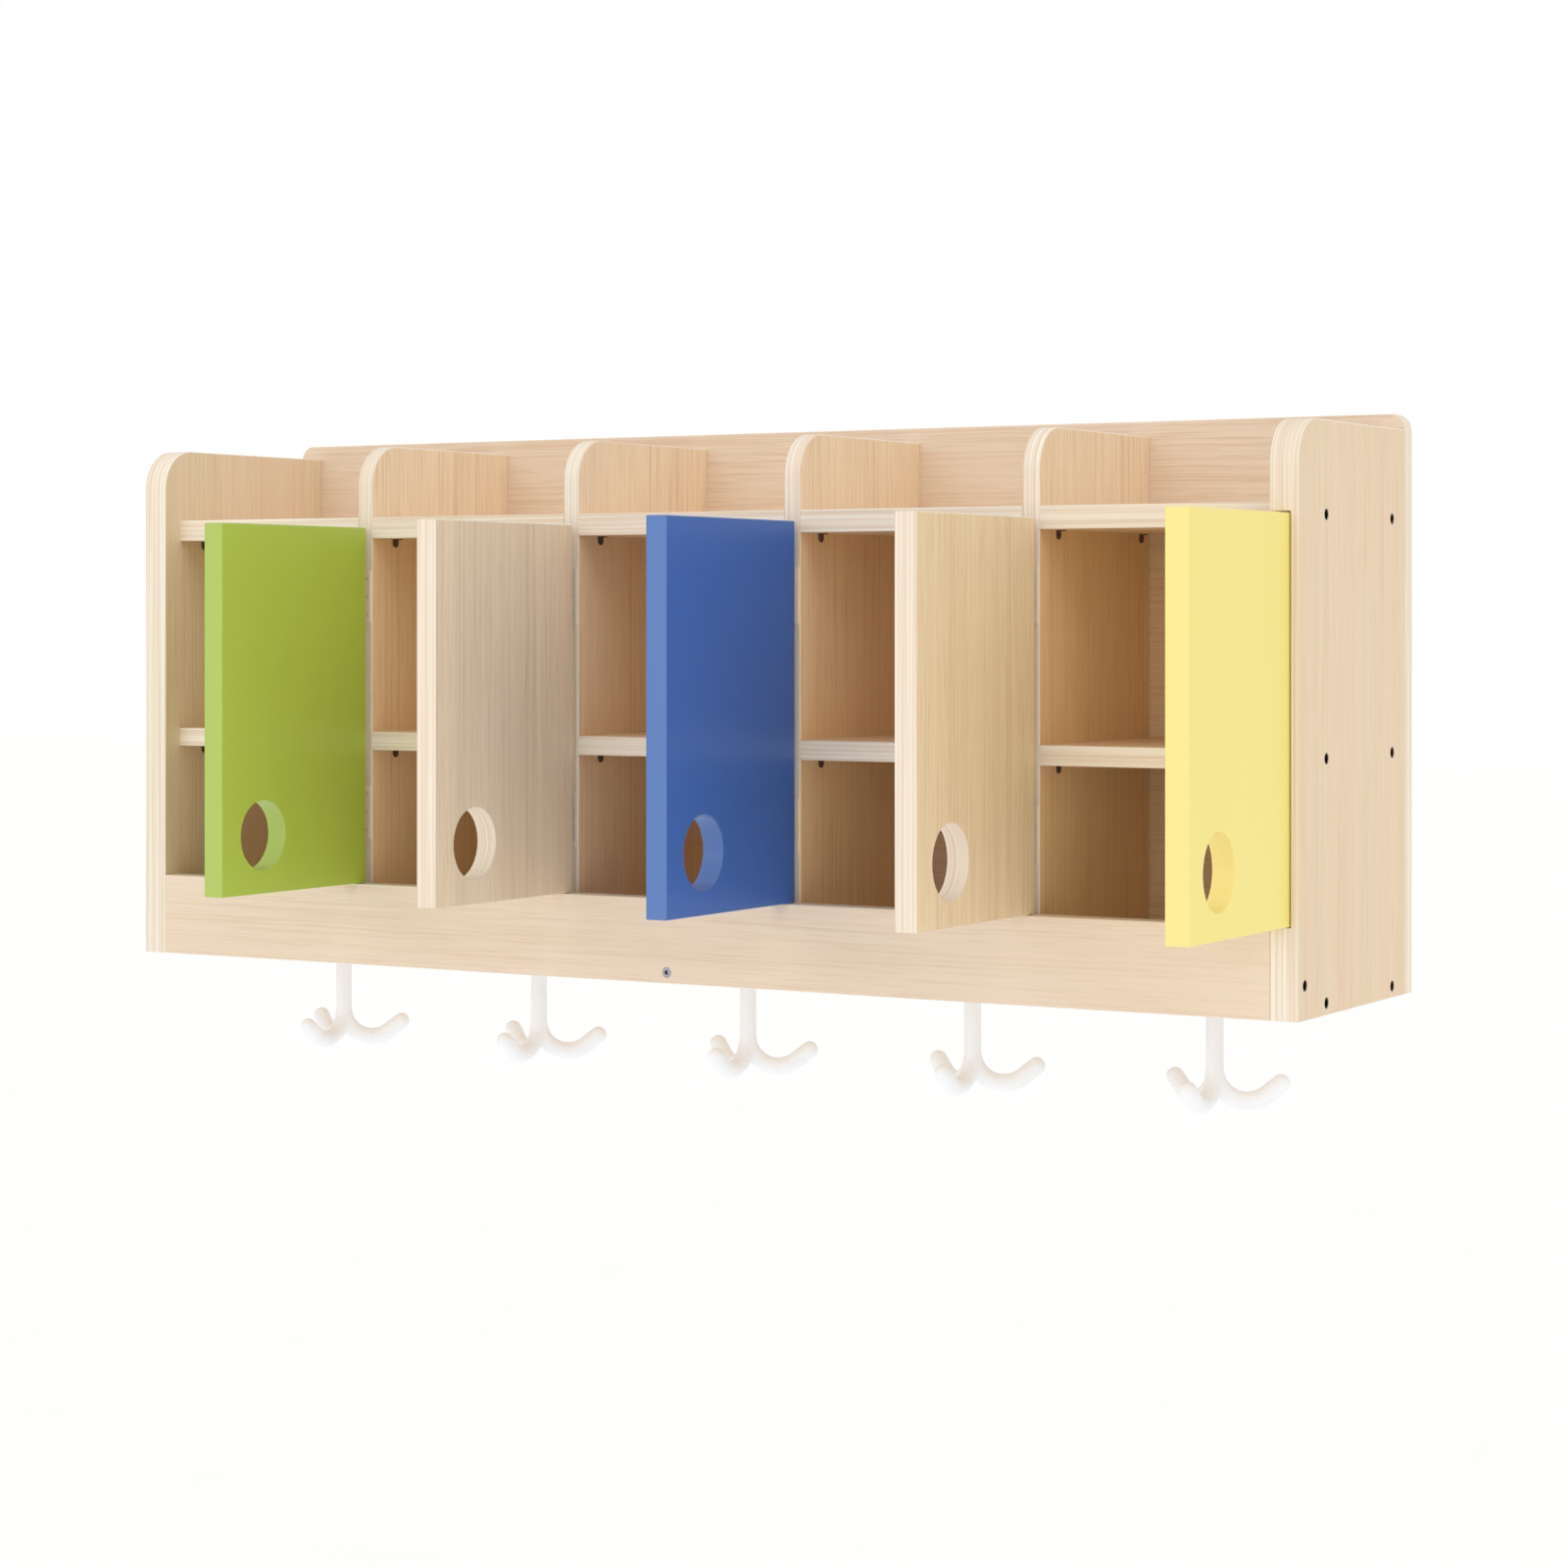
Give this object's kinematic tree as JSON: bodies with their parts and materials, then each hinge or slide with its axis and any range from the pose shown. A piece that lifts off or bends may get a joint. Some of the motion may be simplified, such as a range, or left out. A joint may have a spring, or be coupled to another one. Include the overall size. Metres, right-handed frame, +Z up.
{
  "type": "wall coat rack with lockers",
  "caption": "Wall-hung coat rack in light wood: a row of lockers with coloured hinged doors and finger holes, open cubbies above and three-armed hooks below.",
  "frame": {"origin": "on the wall face, at the centre of the four wall screw holes", "axes": "+X to the right along the wall, +Y into the wall, +Z up; the doors face -Y"},
  "size_m": [1.2, 0.4643, 0.6],
  "materials": {
    "birch": "satin laminate, fine grain",
    "green_paint": "satin paint",
    "blue_paint": "satin paint",
    "yellow_paint": "satin paint",
    "white_plastic": "gloss",
    "brown_plastic": "matt",
    "hinge_steel": "nickel plated",
    "zinc": "zinc plated",
    "black_steel": "black"
  },
  "bodies": {
    "case": {"left_side": "birch", "right_side": "birch", "back_panel": "birch", "divider_1": "birch", "divider_2": "birch", "divider_3": "birch", "divider_4": "birch", "top_shelf_1": "birch", "top_shelf_2": "birch", "top_shelf_3": "birch", "top_shelf_4": "birch", "top_shelf_5": "birch", "middle_shelf_1": "birch", "middle_shelf_2": "birch", "middle_shelf_3": "birch", "middle_shelf_4": "birch", "middle_shelf_5": "birch", "bottom_board": "birch", "front_apron": "birch", "hinge_frame_leaves_1": "hinge_steel", "hinge_frame_leaves_2": "hinge_steel", "hinge_frame_leaves_3": "hinge_steel", "hinge_frame_leaves_4": "hinge_steel", "hinge_frame_leaves_5": "hinge_steel", "hinge_pins_1": "hinge_steel", "hinge_pins_2": "hinge_steel", "hinge_pins_3": "hinge_steel", "hinge_pins_4": "hinge_steel", "hinge_pins_5": "hinge_steel", "hook_1": "white_plastic", "hook_2": "white_plastic", "hook_3": "white_plastic", "hook_4": "white_plastic", "hook_5": "white_plastic", "shelf_supports": "brown_plastic", "hook_screws": "zinc", "case_screws": "black_steel", "apron_screw": "zinc", "back_screws": "zinc", "bottom_screws": "zinc"},
    "locker_door_1": {"door_1": "green_paint", "hinge_door_leaves_1": "hinge_steel"},
    "locker_door_2": {"door_2": "birch", "hinge_door_leaves_2": "hinge_steel"},
    "locker_door_3": {"door_3": "blue_paint", "hinge_door_leaves_3": "hinge_steel"},
    "locker_door_4": {"door_4": "birch", "hinge_door_leaves_4": "hinge_steel"},
    "locker_door_5": {"door_5": "yellow_paint", "hinge_door_leaves_5": "hinge_steel"}
  },
  "joints": [
    {"name": "door_1_hinge", "type": "hinge", "parent": "case", "child": "locker_door_1", "pos_m": [-0.35582, -0.2475, 0.03425], "axis": [0, 0, 1], "range_deg": [-90, 0]},
    {"name": "door_2_hinge", "type": "hinge", "parent": "case", "child": "locker_door_2", "pos_m": [-0.12262, -0.2475, 0.03425], "axis": [0, 0, 1], "range_deg": [-90, 0]},
    {"name": "door_3_hinge", "type": "hinge", "parent": "case", "child": "locker_door_3", "pos_m": [0.11058, -0.2475, 0.03425], "axis": [0, 0, 1], "range_deg": [-90, 0]},
    {"name": "door_4_hinge", "type": "hinge", "parent": "case", "child": "locker_door_4", "pos_m": [0.34378, -0.2475, 0.03425], "axis": [0, 0, 1], "range_deg": [-90, 0]},
    {"name": "door_5_hinge", "type": "hinge", "parent": "case", "child": "locker_door_5", "pos_m": [0.57698, -0.2475, 0.03425], "axis": [0, 0, 1], "range_deg": [-90, 0]}
  ]
}
